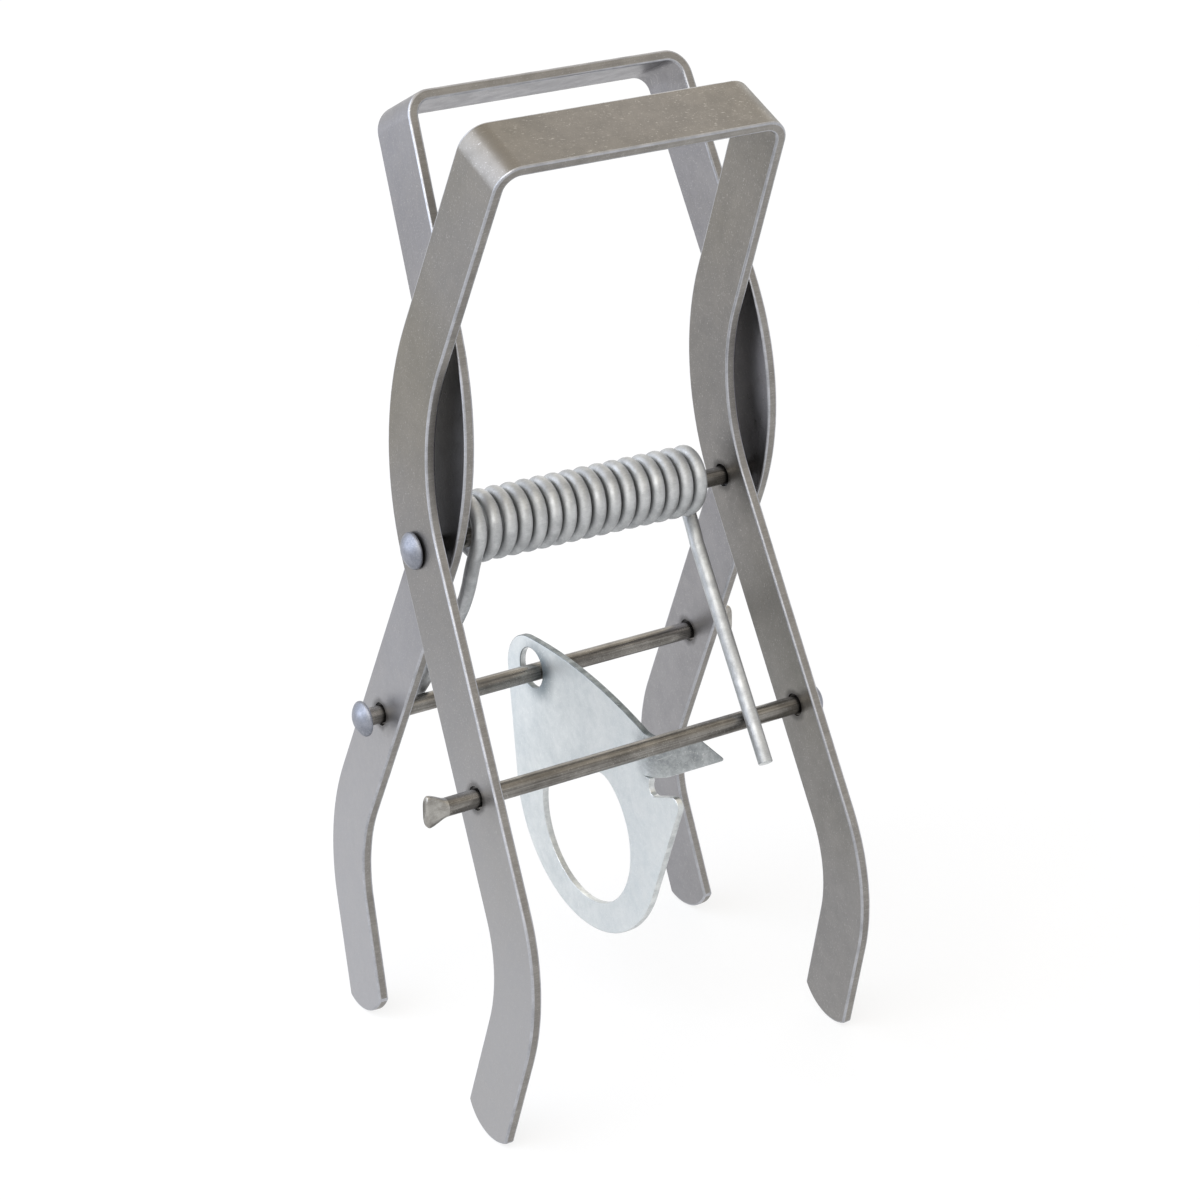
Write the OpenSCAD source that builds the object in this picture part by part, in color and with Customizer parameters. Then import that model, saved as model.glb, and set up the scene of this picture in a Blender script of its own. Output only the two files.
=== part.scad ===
// Scissor mole trap, set, standing on its four jaw tips.
// Millimetres, +Z up. The pins run along X, the front is -Y, and the floor is Z = 0.

/* [Frame strip] */

// Width of the flat strip that each frame is bent from
strip_width = 14.8; // [12:0.1:18]
// Thickness of the strip
strip_thickness = 2.3; // [1.8:0.1:3]

/* [Frame shape] */

// Width of a frame over its outer faces, at the height of the pivot
frame_width = 80; // [70:0.5:95]
// How far each arm leans outward as it goes down, in degrees
arm_splay = 3.55; // [1:0.05:5]
// Space between a frame's arm and the other frame's arm beside it
arm_gap = 3.1; // [1.5:0.1:5]
// Lean of the upper arms in the set trap, in degrees
handle_lean = 25.3; // [20:0.1:30]
// Lean of the legs in the set trap, in degrees
leg_lean = 26.5; // [22:0.1:30]
// Lean of the jaw tips, which point back inward, in degrees
tip_lean = 17.7; // [10:0.1:22]
// From the handle's outer face down to the corner of the upper bend
handle_length = 74.6; // [60:0.1:90]
// From the corner of the upper bend to the corner of the lower bend
leg_length = 115.6; // [100:0.1:130]
// From the corner of the lower bend to the end of the tip
tip_length = 41.1; // [33:0.1:48]
// Centreline radius of the upper bend
upper_bend_radius = 51; // [40:1:60]
// Centreline radius of the lower bend
lower_bend_radius = 37; // [30:1:45]
// Inside radius where the handle folds down into an arm
handle_fold_radius = 3.5; // [2:0.1:6]
// Radius of the rounded end of a jaw tip
tip_end_radius = 10.6; // [9.5:0.1:14]

/* [Holes] */

// Along a leg, from the corner of the upper bend to the pivot hole
pivot_from_bend = 22.8; // [18:0.1:28]
// How far the pivot hole lies behind the middle of the leg
pivot_off_middle = 1; // [0:0.1:2]
// Along a leg, from the corner of the upper bend to the cross rod's hole
rod_from_bend = 75.4; // [68:0.1:82]
// Diameter of the holes for the pin and the rods
hole_diameter = 5.2; // [4.4:0.1:6]

/* [Pin and rods] */

// Diameter of the pivot pin and of both cross rods
rod_diameter = 4; // [3:0.1:4.3]
// Diameter of the domed heads
head_diameter = 8; // [7:0.1:9]
// Height of the domed heads
head_height = 2.4; // [1.8:0.1:3]
// Height of the straight edge under a dome
head_edge = 0.6; // [0.3:0.1:1]
// Axial play of the pivot pin between its heads
pin_play = 0.6; // [0.4:0.1:1.5]
// Length of a cross rod from under its head to its flattened end
rod_length = 97.8; // [92:0.1:106]
// How far the front rod has slid out of the frame at its head
front_rod_slide = 1.7; // [0.4:0.1:3]
// How far the rear rod has slid out of the frame at its head
rear_rod_slide = 4; // [0.4:0.1:5]
// Length of a rod's flattened end
crimp_length = 5.8; // [4:0.1:8]
// Width across a rod's flattened end
crimp_width = 7; // [6:0.1:8.5]
// Thickness of a rod's flattened end
crimp_thickness = 1.8; // [1.2:0.1:2.4]
// Corner cut off each side of a flattened end
crimp_corner = 0.6; // [0.2:0.1:1.2]

/* [Spring] */

// Wire diameter
wire_diameter = 3.2; // [2:0.1:3.3]
// Outer diameter of the coil
coil_diameter = 15.4; // [15.2:0.1:17]
// Length of the coil along the pin, between the wire's centres
coil_length = 58.1; // [57:0.1:61]
// How far the coil sits to the left of the trap's middle
coil_left = 1.9; // [0:0.1:2.2]
// Whole turns between the two legs
coil_turns = 15; // [8:1:15]
// How high the coil's middle rides above the pin at its left end
coil_lift_left = 2.1; // [0:0.1:2.2]
// How high the coil's middle rides above the pin at its right end
coil_lift_right = 0.8; // [0:0.1:2.2]
// Length of each leg
spring_leg = 63.5; // [58:0.5:70]
// First stretch of a leg, which stays beside the coil
leg_start = 8; // [6:0.5:12]
// Lean of the left leg where it leaves the coil, in degrees
left_leg_lean = 20; // [16:1:30]
// Radius of the left leg's bend below the coil
left_leg_bend_radius = 60; // [45:1:75]
// How far the left leg's end leans in towards the middle
left_leg_drift = 3.6; // [0:0.1:6]
// How far the right leg's end leans in towards the middle
right_leg_drift = 5.2; // [0:0.1:10]
// Space left between a leg and the rod that it bears on
leg_clearance = 0.25; // [0.15:0.05:1]

/* [Trigger plate] */

// Sheet thickness
plate_thickness = 1.5; // [1:0.1:2]
// The plate's left face, to the right of the trap's middle
plate_face = 1.2; // [0:0.1:6]
// Radius of the boss round the rear rod
boss_radius = 9.2; // [8.5:0.1:12]
// From the rear rod back to the middle of the boss
boss_behind = 3.4; // [2.5:0.1:5]
// From the rear rod down to the middle of the boss
boss_drop = 2; // [0:0.1:4]
// Radius of the plate's hole for the rear rod
plate_hole_radius = 4.7; // [3.5:0.1:5.5]
// Radius of the round lower part
disc_radius = 28.7; // [26:0.1:32]
// From the rear rod forward to the middle of the round lower part
disc_forward = 18.7; // [16:0.1:22]
// From the rear rod down to the middle of the round lower part
disc_drop = 27; // [24:0.1:30]
// Radius of the ring's opening
ring_radius = 17.7; // [15:0.1:19]
// From the rear rod forward to the middle of the ring's opening
ring_forward = 18.9; // [17:0.1:21]
// From the rear rod down to the middle of the ring's opening
ring_drop = 31.2; // [29:0.1:33]
// From the rear rod down to the opening's flat top, before the opening is turned
ring_top_drop = 18; // [17:0.1:20]
// Radius of the opening's two upper corners
ring_corner_radius = 8; // [3:0.5:9]
// Turn of the opening that lifts the front end of its flat top, in degrees
ring_turn = 19; // [10:0.5:25]
// Radius of the long, slightly curved top edge
top_edge_radius = 130; // [110:1:200]
// Lean of the boss's radius where the top edge starts, in degrees
top_edge_lean = 2; // [0:0.1:4]
// Radius of the rounded nose in front
nose_radius = 2; // [1.2:0.1:3]
// From the rear rod down to the middle of the nose
nose_drop = 12.8; // [10:0.1:15]
// How far the nose reaches in front of the front rod's axis
nose_reach = 4.8; // [3.5:0.1:8]
// Radius at the closed end of the slot that frees the tab
slot_radius = 1.8; // [1.5:0.1:2.5]
// From the start of the tab's fold forward to the closed end of the slot
slot_forward = 2.5; // [0.5:0.1:4]

/* [Trigger tab] */

// Outside radius of the bend that turns the tab square to the plate
tab_bend_radius = 4.6; // [3:0.1:6]
// Space between the tab's face and the front rod
tab_clearance = 0.25; // [0.15:0.05:1]
// How far the tab reaches to the right of the plate's left face
tab_reach = 18.9; // [15:0.1:24]
// From the rods' axes down to the tab's lower edge
tab_bottom_drop = 9.7; // [8:0.1:12]

/* [Colours] */

// Bare mill steel of the frames
frame_colour = [0.46, 0.44, 0.42];
// Darker steel of the pin and rods
rod_colour = [0.36, 0.34, 0.32];
// Plated spring wire
spring_colour = [0.72, 0.72, 0.7];
// Plated trigger sheet
trigger_colour = [0.66, 0.69, 0.72];

/* [Output] */

// Sub-part to draw

/* [Hidden] */

$fn = 96;

// Room that a cutter takes beyond what it cuts
cut_over = 1;
// Largest step along an outline's arcs, in degrees
arc_step = 3;

rod_radius = rod_diameter / 2;
wire_radius = wire_diameter / 2;

// A frame's own axes: X along the pin, Y across the strip of the upper arms, Z up along them.
// Points of its side outline are [Y, Z], counted from the pivot.
upper_turn = handle_lean + leg_lean;
lower_turn = leg_lean + tip_lean;
upper_tangent = upper_bend_radius * tan(upper_turn / 2);
lower_tangent = lower_bend_radius * tan(lower_turn / 2);
leg_way = [-sin(upper_turn), -cos(upper_turn)];
leg_normal = [cos(upper_turn), -sin(upper_turn)];
tip_way = [-sin(upper_turn - lower_turn), -cos(upper_turn - lower_turn)];
upper_corner = -pivot_from_bend * leg_way - pivot_off_middle * leg_normal;
lower_corner = upper_corner + leg_length * leg_way;
rod_place = upper_corner + rod_from_bend * leg_way;

half_width = frame_width / 2;
frame_offset = (strip_thickness + arm_gap) / 2;
handle_level = upper_corner[1] + handle_length;
fold_outer = handle_fold_radius + strip_thickness;
fold_level = handle_level - fold_outer;
fold_side = half_width - fold_level * tan(arm_splay) - fold_outer / cos(arm_splay);

// Height of such a point above the pivot, and its place behind it, in the set front frame
function set_height(p) = p[0] * sin(handle_lean) + p[1] * cos(handle_lean);
function set_depth(p) = p[0] * cos(handle_lean) - p[1] * sin(handle_lean);
// Outer face of an arm at that point, from the frame's own middle
function face_at(p) = half_width - p[1] * tan(arm_splay);

// The rounded ends of the four tips stand on the floor.
tip_end_middle = lower_corner + (tip_length - tip_end_radius) * tip_way;
pivot_height = tip_end_radius - set_height(tip_end_middle);

// Both cross rods lie level, as far in front of the pivot as behind it.
rod_depth = -set_depth(rod_place);
rod_drop = -set_height(rod_place);
rod_face = face_at(rod_place);
front_head_x = rod_face - frame_offset + front_rod_slide;
front_end_x = front_head_x - rod_length;
rear_head_x = frame_offset - rod_face - rear_rod_slide;
rear_end_x = rear_head_x + rod_length;
middle_x = -(front_end_x + rear_end_x) / 2;

pin_half = half_width + frame_offset + pin_play / 2;

// FRAMES

// Points along an arc, from one angle to another
function arc(middle, radius, from, to) =
    let (steps = ceil(abs(to - from) / arc_step))
    [for (i = [0:steps]) let (a = from + (to - from) * i / steps) middle + radius * [cos(a), sin(a)]];

// A frame seen along the pin: the strip's width and its edgewise bends. It starts above the
// handle, which the other outline trims.
module side_outline() {
    half = strip_width / 2;
    top = handle_level + cut_over;
    upper_middle = upper_corner + [-upper_bend_radius, upper_tangent];
    lower_middle = lower_corner - lower_tangent * leg_way + lower_bend_radius * leg_normal;
    lower_from = 180 - upper_turn;
    tip_bearing = atan2(tip_way[1], tip_way[0]);
    end_half = asin(half / tip_end_radius);
    polygon(concat(
        [[upper_corner[0] + half, top]],
        arc(upper_middle, upper_bend_radius + half, 0, -upper_turn),
        arc(lower_middle, lower_bend_radius - half, lower_from, lower_from + lower_turn),
        arc(tip_end_middle, tip_end_radius, tip_bearing + end_half, tip_bearing - end_half),
        arc(lower_middle, lower_bend_radius + half, lower_from + lower_turn, lower_from),
        arc(upper_middle, upper_bend_radius - half, -upper_turn, 0),
        [[upper_corner[0] - half, top]]
    ));
}

// What lies inside one face of the bent strip, seen across its width, down to a level. The
// radius is that of the face's fold.
module inside_face(radius, level) {
    fold_foot = [fold_side, fold_level] + radius * [cos(arm_splay), sin(arm_splay)];
    foot_x = fold_foot[0] + (fold_foot[1] - level) * tan(arm_splay);
    polygon(concat(
        [[foot_x, level]],
        arc([fold_side, fold_level], radius, arm_splay, 90),
        arc([-fold_side, fold_level], radius, 90, 180 - arm_splay),
        [[-foot_x, level]]
    ));
}

// The bent strip is its side outline, cut to the strip's thickness between its two faces.
module bent_strip() {
    foot = 2 * lower_corner[1];
    intersection() {
        rotate([90, 0, 90])
            linear_extrude(2 * frame_width, center = true)
                side_outline();
        rotate([90, 0, 0])
            linear_extrude(2 * leg_length, center = true)
                difference() {
                    inside_face(fold_outer, foot);
                    inside_face(handle_fold_radius, foot - cut_over);
                }
    }
}

// A hole through both arms, along the pins.
module arm_hole(place) {
    translate([0, place[0], place[1]])
        rotate([0, 90, 0])
            cylinder(h = 2 * frame_width, d = hole_diameter, center = true);
}

// One frame as it stands in front. Its pivot hole is at the origin.
module frame() {
    translate([-frame_offset, 0, 0])
        rotate([handle_lean, 0, 0])
            difference() {
                bent_strip();
                arm_hole([0, 0]);
                arm_hole(rod_place);
            }
}

// PIN AND RODS

// A domed head that stands on Z = 0 and points up.
module domed_head() {
    r = head_diameter / 2;
    rise = head_height - head_edge;
    dome_radius = (r * r + rise * rise) / (2 * rise);
    rotate_extrude()
        intersection() {
            square([r, head_height]);
            translate([0, head_height - dome_radius])
                circle(dome_radius, $fn = 180);
        }
}

// A cross rod along +Z: its head below Z = 0, its flattened end at rod_length. The flat lies
// across X, so it is wide along X and thin along Y.
module cross_rod_blank() {
    shank = rod_length - crimp_length;
    press = crimp_length / 2;
    mirror([0, 0, 1])
        domed_head();
    cylinder(h = shank, r = rod_radius);
    intersection() {
        translate([0, 0, shank])
            cylinder(h = crimp_length, r = rod_radius);
        rotate([90, 0, 90])
            linear_extrude(rod_diameter, center = true)
                polygon([
                    [-rod_radius, shank],
                    [-crimp_thickness / 2, shank + press],
                    [-crimp_thickness / 2, rod_length],
                    [crimp_thickness / 2, rod_length],
                    [crimp_thickness / 2, shank + press],
                    [rod_radius, shank],
                ]);
    }
    rotate([90, 0, 0])
        linear_extrude(crimp_thickness, center = true)
            polygon([
                [-rod_radius, shank + press / 2],
                [-crimp_width / 2, rod_length - press / 2],
                [-crimp_width / 2 + crimp_corner, rod_length],
                [crimp_width / 2 - crimp_corner, rod_length],
                [crimp_width / 2, rod_length - press / 2],
                [rod_radius, shank + press / 2],
            ]);
}

module headed_pin() {
    rotate([0, 90, 0]) {
        cylinder(h = 2 * pin_half, r = rod_radius, center = true);
        translate([0, 0, pin_half])
            domed_head();
        mirror([0, 0, 1])
            translate([0, 0, pin_half])
                domed_head();
    }
}

// SPRING

coil_radius = (coil_diameter - wire_diameter) / 2;
steps_per_turn = 8;
// Ring centres lie a little outside the coil's circle, so that their chords keep to it.
ring_radius_out = coil_radius / cos(180 / steps_per_turn / 2);
leg_bearing = rod_radius + wire_radius + leg_clearance;

// Each leg ends as the tangent of a circle that passes just outside the rod. The right leg's
// circle is the coil itself. The left leg's is its own bend, which starts on the coil.
function leg_angle(radius, depth, drop) =
    atan2(depth, drop) + asin((radius + leg_bearing) / norm([depth, drop]));
bend_over = left_leg_bend_radius - ring_radius_out;
left_angle = leg_angle(
    left_leg_bend_radius,
    rod_depth - bend_over * cos(left_leg_lean),
    rod_drop + coil_lift_left + bend_over * sin(left_leg_lean)
);
right_angle = leg_angle(ring_radius_out, rod_depth, rod_drop + coil_lift_right);
bend_length = left_leg_bend_radius * (left_angle - left_leg_lean) * PI / 180;
start_angle = 180 + left_leg_lean;
coil_sweep = 360 * coil_turns + start_angle + right_angle;
coil_steps = round(coil_sweep / 360 * steps_per_turn);
coil_pitch = coil_length * 360 / coil_sweep;
// Sideways lean of a leg's first stretch, for each millimetre of it
coil_slope = coil_pitch / (2 * PI * coil_radius);
left_leg_steps = 10;

function coil_lift(share) = coil_lift_left + share * (coil_lift_right - coil_lift_left);
function coil_point(share) =
    let (angle = start_angle - share * coil_sweep)
    [
        (share - 0.5) * coil_length - coil_left,
        ring_radius_out * cos(angle),
        ring_radius_out * sin(angle) + coil_lift(share),
    ];

// Share of a leg's lean towards the middle: none beside the coil, and all of it at the end
function lean_share(along) =
    let (left = 1 - max(along - leg_start, 0) / (spring_leg - leg_start))
    1 - left * left;
function left_leg_point(along) =
    let (
        straight = max(along - bend_length, 0),
        lean = min(left_leg_lean + along / left_leg_bend_radius * 180 / PI, left_angle)
    )
    coil_point(0) + [
        left_leg_drift * lean_share(along),
        left_leg_bend_radius * (cos(left_leg_lean) - cos(lean)) + straight * sin(lean),
        left_leg_bend_radius * (sin(left_leg_lean) - sin(lean)) - straight * cos(lean),
    ];
function right_leg_point(along, x) =
    coil_point(1) + [x, -along * sin(right_angle), -along * cos(right_angle)];

spring_path = concat(
    [for (i = [left_leg_steps:-1:1]) left_leg_point(spring_leg * i / left_leg_steps)],
    [for (i = [0:coil_steps]) coil_point(i / coil_steps)],
    [
        right_leg_point(leg_start, coil_slope * leg_start / 2),
        right_leg_point(spring_leg / 2, -right_leg_drift / 2),
        right_leg_point(spring_leg, -right_leg_drift),
    ]
);

// A tube of six sides along a path that stays across X.
tube_sides = 6;
function unit(v) = v / norm(v);
function path_way(path, i) =
    unit(path[min(i + 1, len(path) - 1)] - path[max(i - 1, 0)]);
function tube_ring(path, i, radius) =
    let (
        way = path_way(path, i),
        side = unit([1, 0, 0] - way[0] * way),
        out = cross(way, side)
    )
    [
        for (k = [0:tube_sides - 1])
            path[i] + radius * (cos(k * 360 / tube_sides) * side + sin(k * 360 / tube_sides) * out)
    ];

module tube(path, radius) {
    rings = len(path);
    points = [for (i = [0:rings - 1]) each tube_ring(path, i, radius)];
    walls = [
        for (i = [0:rings - 2])
            for (k = [0:tube_sides - 1])
                let (
                    a = i * tube_sides + k,
                    b = i * tube_sides + (k + 1) % tube_sides
                )
                each [[a, b, b + tube_sides], [a, b + tube_sides, a + tube_sides]]
    ];
    last = (rings - 1) * tube_sides;
    caps = [
        for (k = [1:tube_sides - 2])
            each [[0, k + 1, k], [last, last + k, last + k + 1]]
    ];
    polyhedron(points, concat(walls, caps));
}

// Least gap of the wire to itself, over points at least half a turn apart along it.
half_turn = steps_per_turn / 2;
spring_least_gap = min([
    for (i = [0:len(spring_path) - 1 - half_turn])
        for (j = [i + half_turn:len(spring_path) - 1])
            norm(spring_path[i] - spring_path[j]) - wire_diameter
]);
echo(spring_least_gap = spring_least_gap);

// TRIGGER PLATE

// Drawn flat, from the rear rod's axis: X forward, Y up.
rod_span = 2 * rod_depth;
tab_face = rod_span - rod_radius - tab_clearance;
fold_start = tab_face - tab_bend_radius;
boss_middle = [-boss_behind, -boss_drop];
hole_middle = [-(plate_hole_radius - rod_radius - tab_clearance), 0];
disc_middle = [disc_forward, -disc_drop];
ring_middle = [ring_forward, -ring_drop];
nose_middle = [rod_span + nose_reach, -nose_drop];
top_edge_middle = boss_middle + (top_edge_radius - boss_radius) * [sin(top_edge_lean), -cos(top_edge_lean)];
slot_middle = [fold_start + slot_forward + slot_radius, -tab_bottom_drop - slot_radius];

// Where the line from one circle to another touches them. It runs along the left side of a
// circle whose radius is positive, and along the right side where it is negative.
function touch_points(c1, r1, c2, r2) =
    let (
        gap = c2 - c1,
        turn = atan2(gap[1], gap[0]) + 90 - asin((r1 - r2) / norm(gap)),
        out = [cos(turn), sin(turn)]
    )
    [c1 + r1 * out, c2 + r2 * out];

// The slot's lower edge runs from its closed end to the top of the nose.
slot_edge = touch_points(slot_middle, -slot_radius, nose_middle, nose_radius);

module plate_outline() {
    back = touch_points(disc_middle, disc_radius, boss_middle, boss_radius);
    front = touch_points(nose_middle, nose_radius, disc_middle, disc_radius);
    intersection() {
        union() {
            translate(boss_middle)
                circle(boss_radius);
            translate(disc_middle)
                circle(disc_radius, $fn = 180);
            translate(nose_middle)
                circle(nose_radius);
            polygon([
                back[0], back[1], boss_middle, boss_middle + [0, boss_radius],
                [nose_middle[0], boss_radius], nose_middle, front[0], front[1], disc_middle,
            ]);
        }
        translate(top_edge_middle)
            circle(top_edge_radius, $fn = 360);
    }
}

// The ring's opening is round, with a flat top between two corners. Its round part starts a
// step beyond the corners' own ends.
module ring_opening() {
    up = ring_drop - ring_top_drop - ring_corner_radius;
    inner = ring_radius - ring_corner_radius;
    join = asin(up / inner);
    side = inner * cos(join);
    polygon(concat(
        arc([side, up], ring_corner_radius, 90, join),
        arc([0, 0], ring_radius, join - arc_step, arc_step - 180 - join),
        arc([-side, up], ring_corner_radius, 180 - join, 90)
    ));
}

module plate_openings() {
    translate(hole_middle)
        circle(plate_hole_radius);
    translate(ring_middle)
        rotate(ring_turn)
            ring_opening();
    translate(slot_middle)
        circle(slot_radius);
    polygon([
        [fold_start, boss_radius], [fold_start, -tab_bottom_drop], slot_middle + [0, slot_radius],
        slot_middle, slot_edge[0], slot_edge[1],
        slot_edge[1] + 2 * nose_radius * unit(slot_edge[1] - slot_edge[0]),
        [nose_middle[0] + 2 * nose_radius, boss_radius],
    ]);
}

// The tab: folded about an upright axis, then flat behind the front rod. The plate's top edge
// carries on across it.
module trigger_tab() {
    height = tab_bottom_drop;
    flat_start = plate_face + tab_bend_radius;
    tip_x = plate_face + tab_reach;
    intersection() {
        union() {
            translate([flat_start, -fold_start, -tab_bottom_drop])
                rotate(180)
                    rotate_extrude(angle = 90)
                        translate([tab_bend_radius - plate_thickness, 0])
                            square([plate_thickness, height]);
            translate([0, plate_thickness - tab_face, 0])
                rotate([90, 0, 0])
                    linear_extrude(plate_thickness)
                        polygon([
                            [flat_start, -tab_bottom_drop],
                            [tip_x, -tab_bottom_drop],
                            [tip_x - height, 0],
                            [flat_start, 0],
                        ]);
        }
        translate([0, -top_edge_middle[0], top_edge_middle[1]])
            rotate([0, 90, 0])
                cylinder(h = 2 * tip_x, r = top_edge_radius, $fn = 360);
    }
}

// NODES

module front_frame() {
    color(frame_colour)
        frame();
}

module rear_frame() {
    color(frame_colour)
        rotate(180)
            frame();
}

module pivot_pin() {
    color(rod_colour)
        headed_pin();
}

module spring() {
    color(spring_colour)
        tube(spring_path, wire_radius);
}

module front_cross_rod() {
    color(rod_colour)
        translate([front_head_x, -rod_depth, -rod_drop])
            rotate([0, -90, 0])
                cross_rod_blank();
}

module rear_cross_rod() {
    color(rod_colour)
        translate([rear_head_x, rod_depth, -rod_drop])
            rotate([0, 90, 0])
                cross_rod_blank();
}

module trigger_plate() {
    color(trigger_colour)
        translate([0, rod_depth, -rod_drop]) {
            translate([plate_face + plate_thickness, 0, 0])
                rotate([90, 0, -90])
                    linear_extrude(plate_thickness)
                        difference() {
                            plate_outline();
                            plate_openings();
                        }
            trigger_tab();
        }
}

translate([middle_x, 0, pivot_height]) {
    front_frame();
    rear_frame();
    pivot_pin();
    spring();
    front_cross_rod();
    rear_cross_rod();
    trigger_plate();
}
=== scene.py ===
"""The looks of a scissor mole trap, set and standing on its four jaw tips.

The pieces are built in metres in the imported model's own frame: X runs along the pivot pin and
the cross rods, the front of the trap is -Y, and the floor is Z = 0.
"""

import logging
import math
from dataclasses import dataclass
from enum import Enum
from typing import Callable, ClassVar, Iterable, NamedTuple, Sequence

import bmesh
import bpy
from bmesh.types import BMEdge, BMesh, BMVert
from bpy.types import Material, Node, NodeSocket, NodeTree, Object
from mathutils import Matrix, Vector
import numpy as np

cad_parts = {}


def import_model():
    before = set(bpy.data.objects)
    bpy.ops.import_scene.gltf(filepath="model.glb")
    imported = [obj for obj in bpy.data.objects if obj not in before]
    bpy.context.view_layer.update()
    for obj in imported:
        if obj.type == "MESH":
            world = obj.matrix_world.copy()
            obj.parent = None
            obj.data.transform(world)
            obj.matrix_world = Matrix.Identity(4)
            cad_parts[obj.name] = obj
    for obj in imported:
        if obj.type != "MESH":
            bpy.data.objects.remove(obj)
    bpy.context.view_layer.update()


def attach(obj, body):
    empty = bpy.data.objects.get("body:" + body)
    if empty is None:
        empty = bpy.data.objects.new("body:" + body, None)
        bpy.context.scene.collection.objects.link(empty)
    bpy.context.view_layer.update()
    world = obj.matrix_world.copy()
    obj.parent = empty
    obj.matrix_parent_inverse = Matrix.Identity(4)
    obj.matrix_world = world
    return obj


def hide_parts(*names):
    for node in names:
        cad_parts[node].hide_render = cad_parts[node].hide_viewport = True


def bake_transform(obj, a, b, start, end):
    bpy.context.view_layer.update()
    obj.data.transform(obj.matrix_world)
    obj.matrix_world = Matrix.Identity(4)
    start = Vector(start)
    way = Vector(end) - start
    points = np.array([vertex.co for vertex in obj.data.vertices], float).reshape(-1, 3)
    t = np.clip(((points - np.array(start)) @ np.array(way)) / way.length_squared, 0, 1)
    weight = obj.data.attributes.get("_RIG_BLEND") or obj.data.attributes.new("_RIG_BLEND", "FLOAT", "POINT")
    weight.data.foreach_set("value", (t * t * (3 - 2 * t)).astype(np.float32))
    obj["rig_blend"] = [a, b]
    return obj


LOG = logging.getLogger("mole_trap")
MM = 0.001

# Where the pivot stands, and the cross rods' place in front of and behind it
MIDDLE_X = 1.15 * MM
PIVOT_HEIGHT = 122.26 * MM
ROD_DEPTH = 24.367 * MM
ROD_HEIGHT = 75.63 * MM

# The pin and both cross rods are of one wire, and have the same rounding under their heads
ROD_RADIUS = 2.0 * MM
ROD_SIDES = 48
NECK = 0.2 * MM

STRIP_MAP = "strip"

Colour = tuple[float, float, float]
Span = tuple[float, float]
Socket = NodeSocket
Finishes = dict[str, Material]


class Slot(Enum):
    """The record's material slots."""

    FRAME_STEEL = "frame_steel"
    ROD_STEEL = "rod_steel"
    SPRING_WIRE = "spring_wire"
    TRIGGER_SHEET = "trigger_sheet"


class Side(Enum):
    """The trap's two sides: its rear frame and rod are the front ones after half a turn."""

    FRONT = "front"
    REAR = "rear"

    @property
    def sign(self) -> int:
        """-1 for the front, which is -Y, and 1 for the rear."""
        return -1 if self is Side.FRONT else 1


def tone(code: str) -> Colour:
    """Linear colour of a web colour code.

    Args:
        code: Six hexadecimal digits, red first.

    Returns:
        The linear red, green and blue.
    """
    parts = [int(code[i : i + 2], 16) / 255 for i in (0, 2, 4)]
    red, green, blue = (p / 12.92 if p <= 0.04045 else ((p + 0.055) / 1.055) ** 2.4 for p in parts)
    return red, green, blue


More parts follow.
